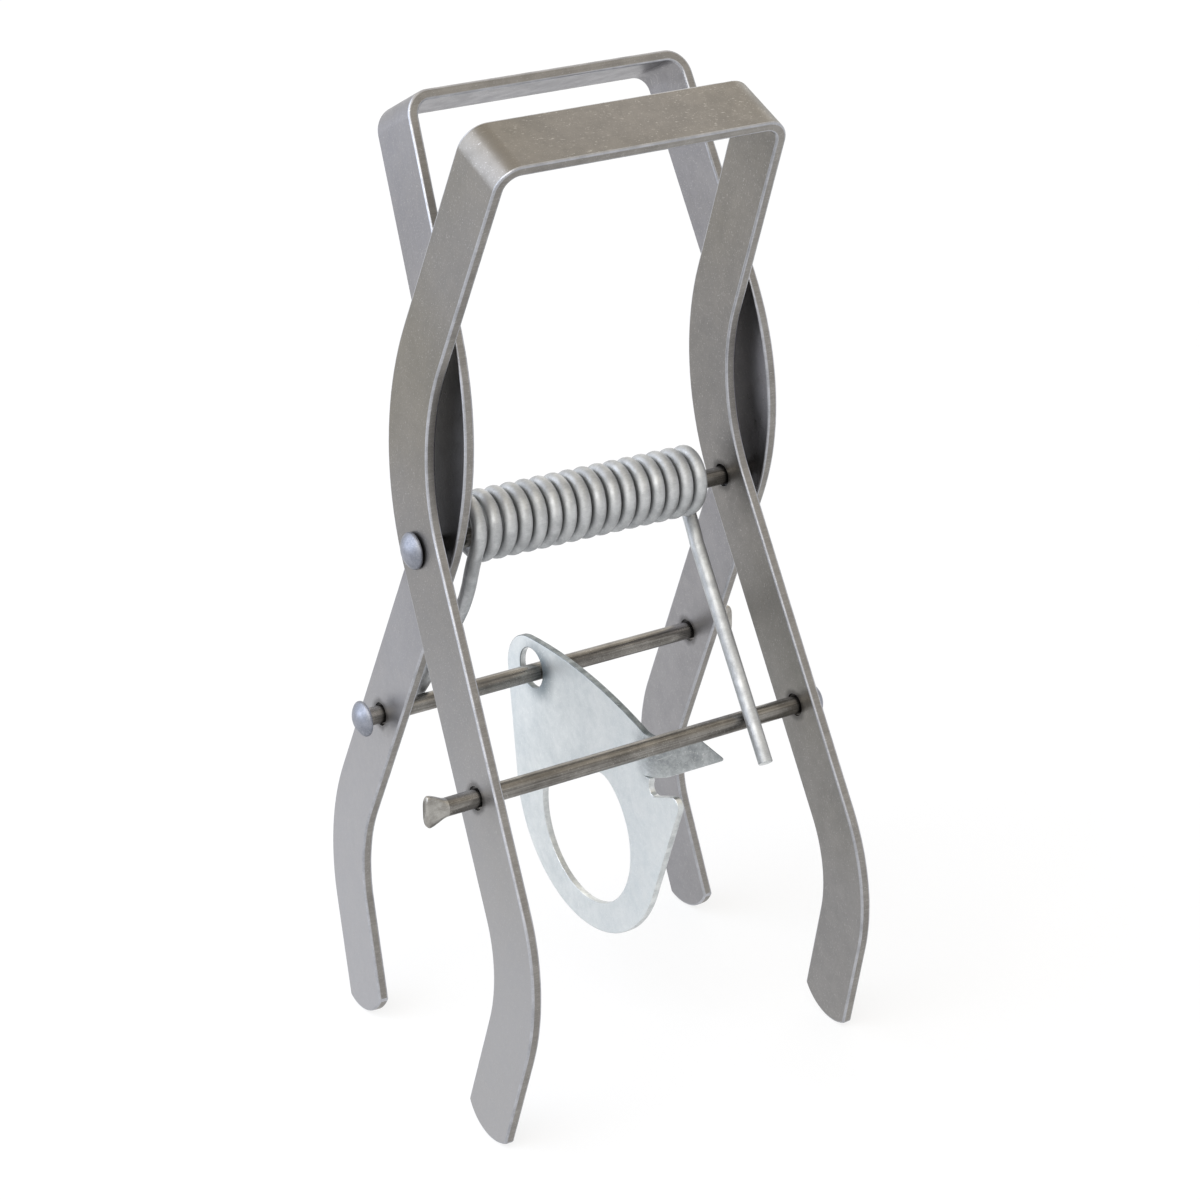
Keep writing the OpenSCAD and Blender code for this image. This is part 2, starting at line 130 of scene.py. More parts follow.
class NodeSheet:
    """A node tree, with short ways to add nodes and to join them."""

    def __init__(self, tree: NodeTree) -> None:
        """Takes the tree of a material, a world or a group."""
        self.tree = tree

    def add(self, kind: str, **values: object) -> Node:
        """Adds a node.

        Args:
            kind: The node's type, without the leading ShaderNode.
            values: Its settings by attribute name, or by input name where the name is one of
                its inputs, written with an underscore for each space.

        Returns:
            The new node.
        """
        node = self.tree.nodes.new("ShaderNode" + kind)
        for name, value in values.items():
            label = name.replace("_", " ")
            if label in node.inputs:
                self.feed(node.inputs[label], value)
            else:
                setattr(node, name, value)
        return node

    def feed(self, socket: Socket, value: object) -> None:
        """Sets an input, or links it.

        Args:
            socket: The input.
            value: What it takes: a number, a vector, a colour or another node's output.
        """
        if isinstance(value, Socket):
            self.tree.links.new(value, socket)
        elif isinstance(value, tuple) and len(value) == 3 and socket.type == "RGBA":
            socket.default_value = (*value, 1.0)
        else:
            socket.default_value = value

    def through(self, kind: str, *terms: object, **settings: object) -> Socket:
        """Puts terms through a new node.

        Args:
            kind: The node's type, without the leading ShaderNode.
            terms: What its first inputs take, in order.
            settings: Its settings by attribute name.

        Returns:
            Its first output.
        """
        node = self.add(kind, **settings)
        for socket, term in zip(node.inputs, terms):
            self.feed(socket, term)
        return node.outputs[0]

    def math(self, operation: str, *terms: object) -> Socket:
        """Output of a Math node over numbers or outputs."""
        return self.through("Math", *terms, operation=operation)

    def times(self, first: object, second: object) -> Socket:
        """Product of two numbers or outputs."""
        return self.math("MULTIPLY", first, second)

    def weigh(self, first: object, share: float, second: object) -> Socket:
        """Sum of one mask by its share and another by the rest."""
        return self.math("ADD", self.times(first, share), self.times(second, 1.0 - share))

    def ramp(self, value: object, low: float, high: float) -> Socket:
        """Smooth step from 0 at low to 1 at high."""
        node = self.add("MapRange", interpolation_type="SMOOTHSTEP", Value=value, From_Min=low, From_Max=high)
        return node.outputs["Result"]

    def span(self, share: object, low: float, high: float) -> Socket:
        """Number between two numbers."""
        return self.add("MapRange", Value=share, To_Min=low, To_Max=high).outputs["Result"]

    def mix(self, share: object, first: object, second: object) -> Socket:
        """Mixes two colours.

        Args:
            share: How much of the second colour there is.
            first: The first colour.
            second: The second colour.

        Returns:
            The colour between them.
        """
        node = self.add("Mix", data_type="RGBA")
        # The sockets for colours stand behind those for numbers and vectors
        for index, value in ((0, share), (6, first), (7, second)):
            self.feed(node.inputs[index], value)
        return node.outputs[2]

    def tint(self, colour: object, mask: object, strength: float, code: str) -> Socket:
        """Lays a web colour over a colour, by a mask and a strength."""
        return self.mix(self.times(mask, strength), colour, tone(code))

    def surface(self, shader: Socket) -> None:
        """Shows a shader on the surface."""
        output = next(node for node in self.tree.nodes if node.type.startswith("OUTPUT"))
        self.feed(output.inputs["Surface"], shader)


class MaterialSheet(NodeSheet):
    """A new material's nodes, with its shader and the place on the trap."""

    def __init__(self, name: str) -> None:
        """Makes the material."""
        self.material = bpy.data.materials.new(name)
        self.material.use_nodes = True
        super().__init__(self.material.node_tree)
        self.shader = self.tree.nodes["Principled BSDF"]
        self.place = self.add("TexCoord").outputs["Object"]

    def mask(self, effect: NodeTree, **values: object) -> Socket:
        """Mask of a shared effect, over the trap unless the values hold another vector."""
        return self.add("Group", node_tree=effect, **{"Vector": self.place, **values}).outputs[0]


class Effects:
    """Shader node groups that more than one finish uses. Each is built once."""

    def __init__(self) -> None:
        """Builds the groups."""
        self.blotches = self._blotches()
        self.drawn_lines = self._drawn_lines()
        self.scratches = self._scratches()
        self.hole_grime = self._hole_grime()

    def _open(self, name: str, inputs: dict[str, float | None]) -> tuple[NodeSheet, dict[str, Socket]]:
        """Starts a group that puts out a mask.

        Args:
            name: The group's name.
            inputs: Its inputs: a default number each, or None for a vector.

        Returns:
            The group's sheet, and its inner ends by name.
        """
        group = bpy.data.node_groups.new(name, "ShaderNodeTree")
        for label, default in inputs.items():
            kind = "NodeSocketVector" if default is None else "NodeSocketFloat"
            socket = group.interface.new_socket(label, in_out="INPUT", socket_type=kind)
            if default is not None:
                socket.default_value = default
        group.interface.new_socket("Mask", in_out="OUTPUT", socket_type="NodeSocketFloat")
        ends = {s.name: s for s in group.nodes.new("NodeGroupInput").outputs if s.name}
        ends["Mask"] = group.nodes.new("NodeGroupOutput").inputs["Mask"]
        return NodeSheet(group), ends

    def _blotches(self) -> NodeTree:
        """Soft uneven patches, from 0 to 1."""
        sheet, ends = self._open("blotches", {"Vector": None, "Scale": 40.0, "Softness": 0.5})
        noise = sheet.add(
            "TexNoise", Vector=ends["Vector"], Scale=ends["Scale"], Detail=5.0, Roughness=ends["Softness"]
        )
        sheet.feed(ends["Mask"], sheet.ramp(noise.outputs[0], 0.3, 0.7))
        return sheet.tree

    def _drawn_lines(self) -> NodeTree:
        """Fine lines along the first coordinate, as rolling or drawing leaves them."""
        sheet, ends = self._open("drawn_lines", {"Vector": None})
        drawn = sheet.through("VectorMath", ends["Vector"], (40.0, 3600.0, 3600.0), operation="MULTIPLY")
        noise = sheet.add("TexNoise", Vector=drawn, Scale=1.0, Detail=3.0)
        sheet.feed(ends["Mask"], sheet.ramp(noise.outputs[0], 0.32, 0.68))
        return sheet.tree

    def _scratches(self) -> NodeTree:
        """Sparse thin scratches in crossing directions."""
        sheet, ends = self._open("scratches", {"Vector": None, "Scale": 60.0, "Amount": 0.5})
        found = []
        for turn, stretch in ((0.45, 90.0), (2.3, 130.0)):
            turned = sheet.add("VectorRotate", Angle=turn, Axis=(0.4, 0.5, 0.75), Vector=ends["Vector"])
            scale = (1.0, stretch, stretch)
            thin = sheet.through("VectorMath", turned.outputs[0], scale, operation="MULTIPLY")
            noise = sheet.add("TexNoise", Vector=thin, Scale=ends["Scale"], Detail=1.0)
            found.append(sheet.ramp(noise.outputs[0], 0.66, 0.74))
        sheet.feed(ends["Mask"], sheet.times(sheet.math("MAXIMUM", *found), ends["Amount"]))
        return sheet.tree

    def _hole_grime(self) -> NodeTree:
        """Painted shade round a pin's hole, where the pin shades the face, with some grime: 1 at the hole, 0
        beyond its reach.
        """
        inputs = {"Vector": None, "Hole Y": 0.0, "Hole Z": 0.0, "Start": 2.6 * MM, "Reach": 4.2 * MM}
        sheet, ends = self._open("hole_grime", inputs)
        parts = sheet.add("SeparateXYZ", Vector=ends["Vector"])
        across = sheet.math("SUBTRACT", parts.outputs[1], ends["Hole Y"])
        above = sheet.math("SUBTRACT", parts.outputs[2], ends["Hole Z"])
        squares = sheet.math("ADD", sheet.math("POWER", across, 2.0), sheet.math("POWER", above, 2.0))
        wobble = sheet.add("TexNoise", Vector=ends["Vector"], Scale=700.0, Detail=2.0)
        uneven = sheet.span(wobble.outputs[0], -0.5 * MM, 0.5 * MM)
        away = sheet.math("ADD", sheet.math("SQRT", squares), uneven)
        sheet.feed(ends["Mask"], sheet.ramp(away, ends["Reach"], ends["Start"]))
        return sheet.tree


class Coat(NamedTuple):
    """What a finish feeds its shader with."""

    colour: Socket
    roughness: Socket
    relief: Socket


@dataclass(frozen=True)
class Finish:
    """A metal's finish between two web colours. Each kind lays its own coat."""

    name: str
    pale: str
    deep: str
    metallic: ClassVar[float] = 1.0
    bump: ClassVar[float] = 0.18
    bump_depth: ClassVar[float] = 0.04 * MM

    def coat(self, sheet: MaterialSheet, effects: Effects) -> Coat:
        """Lays the coat in a material's sheet, which each kind of finish does its own way."""
        raise NotImplementedError

    def build(self, effects: Effects) -> Material:
        """Makes the material.

        Args:
            effects: The shared node groups.

        Returns:
            The finished material.
        """
        sheet = MaterialSheet(self.name)
        coat = self.coat(sheet, effects)
        bump = sheet.add("Bump", Strength=self.bump, Distance=self.bump_depth, Height=coat.relief)
        inputs = sheet.shader.inputs
        sheet.feed(inputs["Base Color"], coat.colour)
        sheet.feed(inputs["Roughness"], coat.roughness)
        sheet.feed(inputs["Metallic"], self.metallic)
        sheet.feed(inputs["Normal"], bump.outputs[0])
        return sheet.material


@dataclass(frozen=True)
class RolledSteel(Finish):
    """Bare rolled strip: satin grey with rolling lines, blotches and a few scratches, and painted light and
    shade.
    """

    rod_side: int
    gap_shade: float
    rough: Span = (0.34, 0.44)
    # Where the painted light on the jaws starts and is full, a lighter grey for more light low on the left:
    # down the arms, and from right to left
    painted_light_down: Span = (150.0 * MM, 20.0 * MM)
    painted_light_left: Span = (20.0 * MM, -20.0 * MM)
    # Where the painted shade on the arm starts and is full: from below, and from above
    gap_shade_up: Span = (108.0 * MM, 120.0 * MM)
    gap_shade_down: Span = (172.0 * MM, 158.0 * MM)
    bump: ClassVar[float] = 0.16

    def _painted_gap_shade(self, sheet: MaterialSheet, aside: Socket, height: Socket) -> Socket:
        """Painted shade on the left arm's outer face, where the other frame's arm passes over it and shades
        it.

        Args:
            sheet: The material's sheet.
            aside: The place across the trap.
            height: The height on the trap.

        Returns:
            The painted shade's mask.
        """
        normal = sheet.add("SeparateXYZ", Vector=sheet.add("NewGeometry").outputs["Normal"]).outputs[0]
        left = sheet.times(sheet.math("LESS_THAN", aside, 0.0), sheet.ramp(normal, -0.4, -0.9))
        band = sheet.times(sheet.ramp(height, *self.gap_shade_up), sheet.ramp(height, *self.gap_shade_down))
        return sheet.times(sheet.times(left, band), self.gap_shade)

    def coat(self, sheet: MaterialSheet, effects: Effects) -> Coat:
        """Lays the coat.

        Args:
            sheet: The material's sheet.
            effects: The shared node groups.

        Returns:
            The coat.
        """
        strip = sheet.add("UVMap", uv_map=STRIP_MAP).outputs[0]
        patches = sheet.mask(effects.blotches, Scale=38.0, Softness=0.62)
        clouds = sheet.mask(effects.blotches, Scale=260.0, Softness=0.7)
        cool = sheet.mask(effects.blotches, Scale=17.0, Softness=0.4)
        lines = sheet.mask(effects.drawn_lines, Vector=strip)
        marks = sheet.mask(effects.scratches, Scale=34.0, Amount=0.8)
        colour = sheet.mix(sheet.weigh(patches, 0.6, clouds), tone(self.pale), tone(self.deep))
        colour = sheet.tint(colour, cool, 0.2, "83889a")
        colour = sheet.tint(colour, lines, 0.14, "6f6c6a")
        colour = sheet.tint(colour, marks, 0.4, "c9c7c4")

        parts = sheet.add("SeparateXYZ", Vector=sheet.place)
        aside, height = parts.outputs[0], parts.outputs[2]
        # Painted light: the lower arms are mixed toward a lighter grey, more on the left, where more light
        # falls
        painted_light = sheet.span(sheet.ramp(aside, *self.painted_light_left), 0.25, 0.75)
        low = sheet.times(sheet.ramp(height, *self.painted_light_down), painted_light)
        colour = sheet.mix(low, colour, tone("b0b0b3"))
        # Painted shade between the arms: the left arm's outer face is darkened where the other frame's arm
        # shades it
        colour = sheet.mix(self._painted_gap_shade(sheet, aside, height), colour, tone("25272b"))

        # Painted shade round the pivot and rod holes, where the pins shade the strip, with some grime
        pivot = sheet.mask(effects.hole_grime, Hole_Z=PIVOT_HEIGHT)
        rod = sheet.mask(effects.hole_grime, Hole_Y=self.rod_side * ROD_DEPTH, Hole_Z=ROD_HEIGHT)
        colour = sheet.tint(colour, sheet.math("MAXIMUM", pivot, rod), 0.6, "2b2826")
        roughness = sheet.math("SUBTRACT", sheet.span(clouds, *self.rough), sheet.times(marks, 0.12))
        return Coat(colour, roughness, sheet.weigh(lines, 0.5, clouds))


@dataclass(frozen=True)
class PlainSteel(Finish):
    """A steel surface with soft patches and fine lines along X, for rods, wire and cut edges."""

    rough: Span
    patches: float
    lines: float

    def coat(self, sheet: MaterialSheet, effects: Effects) -> Coat:
        """Lays the coat.

        Args:
            sheet: The material's sheet.
            effects: The shared node groups.

        Returns:
            The coat.
        """
        patches = sheet.mask(effects.blotches, Scale=self.patches, Softness=0.65)
        lines = sheet.mask(effects.drawn_lines)
        marks = sheet.mask(effects.scratches, Scale=60.0, Amount=0.6)
        share = sheet.weigh(lines, self.lines, patches)
        colour = sheet.tint(sheet.mix(share, tone(self.pale), tone(self.deep)), marks, 0.4, "e4e4e2")
        return Coat(colour, sheet.span(patches, *self.rough), share)


@dataclass(frozen=True)
class PlatedSheet(Finish):
    """Pale zinc plating on stamped sheet: mottled, bluish, nearly matt, with painted shade round the rods."""

    rod_shade: str
    rough: Span = (0.38, 0.56)
    shade_start: float = 3.0 * MM
    rod_shade_reach: float = 8.5 * MM
    # Middle of the front rod's painted shadow on the tab, with grime where the tab rubs on the rod
    rod_shadow_y: float = -22.5 * MM
    rod_shadow_z: float = 72.0 * MM
    rod_shadow_reach: float = 10.5 * MM
    metallic: ClassVar[float] = 0.85
    bump: ClassVar[float] = 0.25
    bump_depth: ClassVar[float] = 0.05 * MM

    def coat(self, sheet: MaterialSheet, effects: Effects) -> Coat:
        """Lays the coat.

        Args:
            sheet: The material's sheet.
            effects: The shared node groups.

        Returns:
            The coat.
        """
        clouds = sheet.mask(effects.blotches, Scale=95.0, Softness=0.6)
        frost = sheet.mask(effects.blotches, Scale=520.0, Softness=0.75)
        marks = sheet.mask(effects.scratches, Scale=30.0, Amount=0.7)
        uneven = sheet.weigh(clouds, 0.55, frost)
        # Painted shade round the rods, with some grime: the two masks below
        grime = {"effect": effects.hole_grime, "Start": self.shade_start}
        rod_shaded = sheet.mask(Hole_Y=ROD_DEPTH, Hole_Z=ROD_HEIGHT, Reach=self.rod_shade_reach, **grime)
        rubbed = sheet.mask(Hole_Y=self.rod_shadow_y, Hole_Z=self.rod_shadow_z, Reach=self.rod_shadow_reach, **grime)
        colour = sheet.mix(uneven, tone(self.pale), tone(self.deep))
        # Painted shadow of the rear rod: a bluish dark ring round it on the plate
        colour = sheet.tint(colour, rod_shaded, 0.75, self.rod_shade)
        # Painted shadow of the front rod on the tab, with some grime, in a flat grey
        colour = sheet.mix(sheet.times(rubbed, sheet.span(frost, 0.4, 0.75)), colour, tone("74777a"))
        colour = sheet.tint(colour, marks, 0.5, "f2f4f4")
        return Coat(colour, sheet.span(uneven, *self.rough), frost)


def make_finishes() -> Finishes:
    """Makes every finish of the trap once.

    Returns:
        The materials by name.
    """
    effects = Effects()
    kinds: list[Finish] = [
        # Painted shade: the front frame is the same steel as the rear one, written darker and warmer for how
        # it is lit. The rear frame's 0.7 is its painted shade between the arms.
        RolledSteel("front_strip_steel", "88837a", "78746b", rod_side=Side.FRONT.sign, gap_shade=0.0),
        RolledSteel("rear_strip_steel", "979596", "878586", rod_side=Side.REAR.sign, gap_shade=0.7),
        PlainSteel("strip_edge_steel", "96938f", "7f7c79", rough=(0.36, 0.48), patches=160.0, lines=0.4),
        # Partly real polish, partly painted highlight: the frames' rounded arrises are written lighter than
        # their faces, as bright lines along the strip's edges
        PlainSteel("rubbed_arris", "b6b7bc", "97989c", rough=(0.3, 0.42), patches=240.0, lines=0.3),
        PlainSteel("drawn_rod_steel", "94918c", "5c5955", rough=(0.25, 0.36), patches=130.0, lines=0.5),
        PlainSteel("crushed_rod_end", "b3b1ac", "8c8984", rough=(0.3, 0.42), patches=420.0, lines=0.15),
        PlainSteel("headed_steel", "9a9da7", "787b83", rough=(0.38, 0.5), patches=260.0, lines=0.2),
        PlainSteel("plated_wire", "c4c6c7", "a7a9ab", rough=(0.5, 0.62), patches=300.0, lines=0.25),
        PlatedSheet("plated_trigger_sheet", "dde1e2", "cad0d2", rod_shade="4c5f6b"),
        PlainSteel("sheared_sheet_edge", "dcdfdf", "b7bbbc", rough=(0.34, 0.46), patches=420.0, lines=0.2),
        # Darker grey for the plate's arrises, also used as painted shade on its long top edge
        PlainSteel("sheared_sheet_burr", "878d8f", "5f6668", rough=(0.36, 0.48), patches=420.0, lines=0.2),
    ]
    return {kind.name: kind.build(effects) for kind in kinds}


def start_mesh() -> BMesh:
    """An empty mesh whose vertices hold their place along a sweep and round its axis."""
    bm = bmesh.new()
    bm.verts.layers.float.new("along")
    bm.verts.layers.float.new("bearing")
    return bm


def new_verts(made: Iterable) -> list[BMVert]:
    """The vertices among what an operator made."""
    return [g for g in made if isinstance(g, BMVert)]


class Sweep:
    """A row or ring of edges that grows into a wall, straight on or round a bend."""

    def __init__(self, bm: BMesh, verts: list, edges: list) -> None:
        """Takes the mesh and the edges that the wall starts from."""
        self.bm = bm
        self.verts = verts
        self.edges = edges
        self.along = bm.verts.layers.float["along"]

    def step(self, move: Matrix, length: float = 0.0) -> list:
        """Extrudes once and moves what it made.

        Args:
            move: The transform of the new edges.
            length: How much further along the piece they lie.

        Returns:
            The new vertices.
        """
        made = bmesh.ops.extrude_edge_only(self.bm, edges=self.edges)["geom"]
        start = self.verts[0][self.along]
        self.verts = new_verts(made)
        edges = [g for g in made if isinstance(g, BMEdge)]
        self.edges = [e for e in edges if all(v in self.verts for v in e.verts)]
        bmesh.ops.transform(self.bm, matrix=move, verts=self.verts)
        for vert in self.verts:
            vert[self.along] = start + length
        return self.verts

    def straight(self, way: Vector, steps: int = 1) -> None:
        """Goes straight on by a vector, in equal steps."""
        part = way / steps
        for _ in range(steps):
            self.step(Matrix.Translation(part), part.length)

    def bend(self, centre: Vector, axis: Vector, angle: float, steps: int, length: float) -> None:
        """Goes round a bend.

        Args:
            centre: A point on the bend's axis.
            axis: The axis it turns about.
            angle: The whole turn, in radians.
            steps: How many steps the turn has.
            length: The middle's length round the bend.
        """
        turn = Matrix.Rotation(angle / steps, 4, axis)
        move = Matrix.Translation(centre) @ turn @ Matrix.Translation(-centre)
        for _ in range(steps):
            self.step(move, length / steps)

    def middle(self) -> Vector:
        """Middle of the newest edges."""
        return sum((v.co for v in self.verts), Vector()) / len(self.verts)


def new_piece(name: str, bm: BMesh, materials: Sequence[Material]) -> Object:
    """Turns a bmesh into an object at the origin.

    Args:
        name: The piece's name.
        bm: Its mesh, which is freed.
        materials: Its material slots in order.

    Returns:
        The new object.
    """
    mesh = bpy.data.meshes.new(name)
    bm.to_mesh(mesh)
    bm.free()
    mesh.shade_smooth()
    for material in materials:
        mesh.materials.append(material)
    piece = bpy.data.objects.new(name, mesh)
    bpy.context.scene.collection.objects.link(piece)
    return piece


def settle(piece: Object) -> None:
    """Applies a piece's modifiers to its mesh."""
    graph = bpy.context.evaluated_depsgraph_get()
    final = bpy.data.meshes.new_from_object(
        piece.evaluated_get(graph), preserve_all_data_layers=True, depsgraph=graph
    )
    old = piece.data
    piece.modifiers.clear()
    piece.data = final
    bpy.data.meshes.remove(old)
    final.name = piece.name


def thicken(piece: Object, thickness: float) -> None:
    """Gives a sheet its wall, half to each side, with its rim in the second material."""
    wall = piece.modifiers.new("thickness", "SOLIDIFY")
    wall.thickness = thickness
    wall.offset = 0.0
    wall.use_even_offset = True
    wall.material_offset_rim = 1


def soften(piece: Object, width: float, segments: int, limit: float, material: int) -> None:
    """Rounds the arrises that are sharper than a limit.

    Args:
        piece: The piece.
        width: Width of the rounding.
        segments: Its segments.
        limit: The least angle of an arris, in degrees.
        material: Material slot of the rounding.
    """
    bevel = piece.modifiers.new("arris", "BEVEL")
    bevel.limit_method = "ANGLE"
    bevel.angle_limit = math.radians(limit)
    bevel.width = width
    bevel.segments = segments
    bevel.material = material


def even_shading(piece: Object) -> None:
    """Keeps flat faces flat beside their rounded arrises."""
    weighted = piece.modifiers.new("shading", "WEIGHTED_NORMAL")
    weighted.mode = "FACE_AREA"
    weighted.weight = 80
    weighted.keep_sharp = False


def crisp_edges(piece: Object, limit: float) -> None:
    """Marks edges that are sharper than a limit, in degrees, as sharp."""
    piece.data.set_sharp_from_angle(angle=math.radians(limit))


@dataclass
class BentFrame:
    """One strap frame: handle, folded corners, edgewise bends, legs and rounded tips."""

    side: Side
    strip_width: float = 14.8 * MM
    thickness: float = 2.3 * MM
    half_width: float = 40.0 * MM
    offset: float = 2.7 * MM
    splay: float = math.radians(3.55)
    lean: float = math.radians(25.3)
    upper_turn: float = math.radians(51.8)
    lower_turn: float = math.radians(44.2)
    upper_radius: float = 51.0 * MM
    lower_radius: float = 37.0 * MM
    fold_radius: float = 3.5 * MM
    handle_length: float = 74.6 * MM
    leg_length: float = 115.6 * MM
    tip_length: float = 41.1 * MM
    tip_radius: float = 10.6 * MM
    pivot_along: float = 22.8 * MM
    pivot_aside: float = 1.0 * MM
    hole_diameter: float = 5.2 * MM
    drill_length: float = 120.0 * MM
    arris: float = 0.45 * MM
    hole_arris: float = 0.22 * MM

    @property
    def corner(self) -> tuple[float, float]:
        """Corner of the upper bend, across the strip and up the arms from the pivot."""
        sine, cosine = math.sin(self.upper_turn), math.cos(self.upper_turn)
        across = self.pivot_along * sine - self.pivot_aside * cosine
        above = self.pivot_along * cosine + self.pivot_aside * sine
        return across, above

    def _arm_middle(self, level: float) -> float:
        """Middle of an arm's thickness at a level of the frame's own axes."""
        return self.half_width - level * math.tan(self.splay) - self.thickness / 2 / math.cos(self.splay)

    def _half_ribbon(self, bm: BMesh) -> None:
        """Grows the right half of the strip's middle surface, from handle to tip.

        Args:
            bm: The mesh to grow it in.
        """
        across, above = self.corner
        outer = self.fold_radius + self.thickness
        fold_level = above + self.handle_length - outer
        fold_side = self.half_width - fold_level * math.tan(self.splay) - outer / math.cos(self.splay)
        mid_fold = self.fold_radius + self.thickness / 2
        top = above + self.handle_length - self.thickness / 2
        half = self.strip_width / 2
        ends = [bmesh.ops.create_vert(bm, co=(0, across + s * half, top))["vert"][0] for s in (1, -1)]
        first = bmesh.ops.contextual_create(bm, geom=ends)["edges"]
        strip = Sweep(bm, ends, first)
        strip.straight(Vector((fold_side, 0, 0)), steps=6)
        fold = math.pi / 2 - self.splay
        fold_centre = Vector((fold_side, 0, fold_level))
        strip.bend(fold_centre, Vector((0, 1, 0)), fold, steps=12, length=fold * mid_fold)

        down = Vector((math.sin(self.splay), 0, -math.cos(self.splay)))
        normal = Vector((math.cos(self.splay), 0, math.sin(self.splay)))
        upper_tangent = self.upper_radius * math.tan(self.upper_turn / 2)
        lower_tangent = self.lower_radius * math.tan(self.lower_turn / 2)
        bend_level = above + upper_tangent
        drop = (strip.middle().z - bend_level) / math.cos(self.splay)
        strip.straight(down * drop, steps=5)
        centre = Vector((self._arm_middle(bend_level), across - self.upper_radius, bend_level))
        upper_length = self.upper_radius * self.upper_turn
        strip.bend(centre, normal, -self.upper_turn, steps=20, length=upper_length)

        leg = Matrix.Rotation(-self.upper_turn, 3, normal) @ down
        strip.straight(leg * (self.leg_length - upper_tangent - lower_tangent), steps=7)
        centre = strip.middle() + normal.cross(leg) * self.lower_radius
        lower_length = self.lower_radius * self.lower_turn
        strip.bend(centre, normal, self.lower_turn, steps=18, length=lower_length)
        tip = Matrix.Rotation(self.lower_turn, 3, normal) @ leg
        flat_part = math.sqrt(self.tip_radius**2 - half**2)
        strip.straight(tip * (self.tip_length - lower_tangent - self.tip_radius + flat_part), steps=2)
        self._round_end(bm, strip, tip, flat_part)

    def _round_end(self, bm: BMesh, strip: Sweep, tip: Vector, flat_part: float) -> None:
        """Rounds the end of a tip to an arc.

        Args:
            bm: The mesh.
            strip: The grown strip.
            tip: The way the tip points.
            flat_part: From the arc's centre to the end of the strip's straight sides.
        """
        middle = strip.middle()
        for vert in new_verts(bmesh.ops.subdivide_edges(bm, edges=strip.edges, cuts=15)["geom_inner"]):
            aside = (vert.co - middle).length
            vert.co += tip * (math.sqrt(self.tip_radius**2 - aside**2) - flat_part)

    def _map_strip(self, bm: BMesh) -> None:
        """Lays a map along the strip, for the rolling lines.

        Args:
            bm: The mesh, in the frame's own axes.
        """
        along = bm.verts.layers.float["along"]
        layer = bm.loops.layers.uv.new(STRIP_MAP)
        across = self.corner[0]
        for face in bm.faces:
            sign = 1 if face.calc_center_median().x > 0 else -1
            for loop in face.loops:
                loop[layer].uv = (sign * loop.vert[along], loop.vert.co.y - across)

    def _stand(self) -> Matrix:
        """From the frame's own axes to its place in the trap."""
        front = Matrix.Translation((-self.offset, 0, 0)) @ Matrix.Rotation(self.lean, 4, "X")
        turned = Matrix.Rotation(0 if self.side is Side.FRONT else math.pi, 4, "Z") @ front
        return Matrix.Translation((MIDDLE_X, 0, PIVOT_HEIGHT)) @ turned

    def _drill(self, piece: Object) -> None:
        """Cuts the holes for the pivot pin and the cross rod through both arms.

        Args:
            piece: The frame.
        """
        bm = start_mesh()
        radius = self.hole_diameter / 2
        for y, z in ((0.0, PIVOT_HEIGHT), (self.side.sign * ROD_DEPTH, ROD_HEIGHT)):
            place = Matrix.Translation((0, y, z)) @ Matrix.Rotation(math.pi / 2, 4, "Y")
            bmesh.ops.create_cone(
                bm, cap_ends=True, segments=48, radius1=radius, radius2=radius, depth=self.drill_length,
                matrix=place,
            )
        drill = new_piece("drill", bm, [])
        cut = piece.modifiers.new("holes", "BOOLEAN")
        cut.object = drill
        cut.solver = "EXACT"
        soften(piece, self.hole_arris, segments=2, limit=62, material=2)
        even_shading(piece)
        settle(piece)
        bpy.data.objects.remove(drill)

    def build(self, finishes: Finishes) -> Object:
        """Makes the frame.

        Args:
            finishes: The trap's finishes.

        Returns:
            The finished piece.
        """
        bm = start_mesh()
        self._half_ribbon(bm)
        bmesh.ops.mirror(bm, geom=bm.verts[:] + bm.edges[:] + bm.faces[:], merge_dist=1e-6, axis="X")
        bmesh.ops.recalc_face_normals(bm, faces=bm.faces)
        self._map_strip(bm)
        bmesh.ops.transform(bm, matrix=self._stand(), verts=bm.verts)
        side = self.side.value
        steels = [finishes[n] for n in (f"{side}_strip_steel", "strip_edge_steel", "rubbed_arris")]
        piece = new_piece(f"{side}_frame_strip", bm, steels)
        thicken(piece, self.thickness)
        soften(piece, self.arris, segments=4, limit=30, material=2)
        settle(piece)
        self._drill(piece)
        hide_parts(f"{side}_frame")
        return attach(piece, f"{side}_jaw")


def lathe(bm: BMesh, profile: Iterable[tuple[float, float]], sides: int) -> list:
    """Turns a profile round the X axis.

    Args:
        bm: The mesh to make it in.
        profile: Points as (place along X, radius).
        sides: Sides of the turned shape.

    Returns:
        The open edges at the profile's ends, if any.
    """
    chain = [bmesh.ops.create_vert(bm, co=(x, 0, r))["vert"][0] for x, r in profile]
    edges = [bmesh.ops.contextual_create(bm, geom=list(pair))["edges"][0] for pair in zip(chain, chain[1:])]
    bmesh.ops.spin(
        bm, geom=chain + edges, cent=(0, 0, 0), axis=(1, 0, 0), angle=2 * math.pi, steps=sides, use_merge=True
    )
    bmesh.ops.remove_doubles(bm, verts=bm.verts, dist=1e-7)
    return [e for e in bm.edges if e.is_boundary]


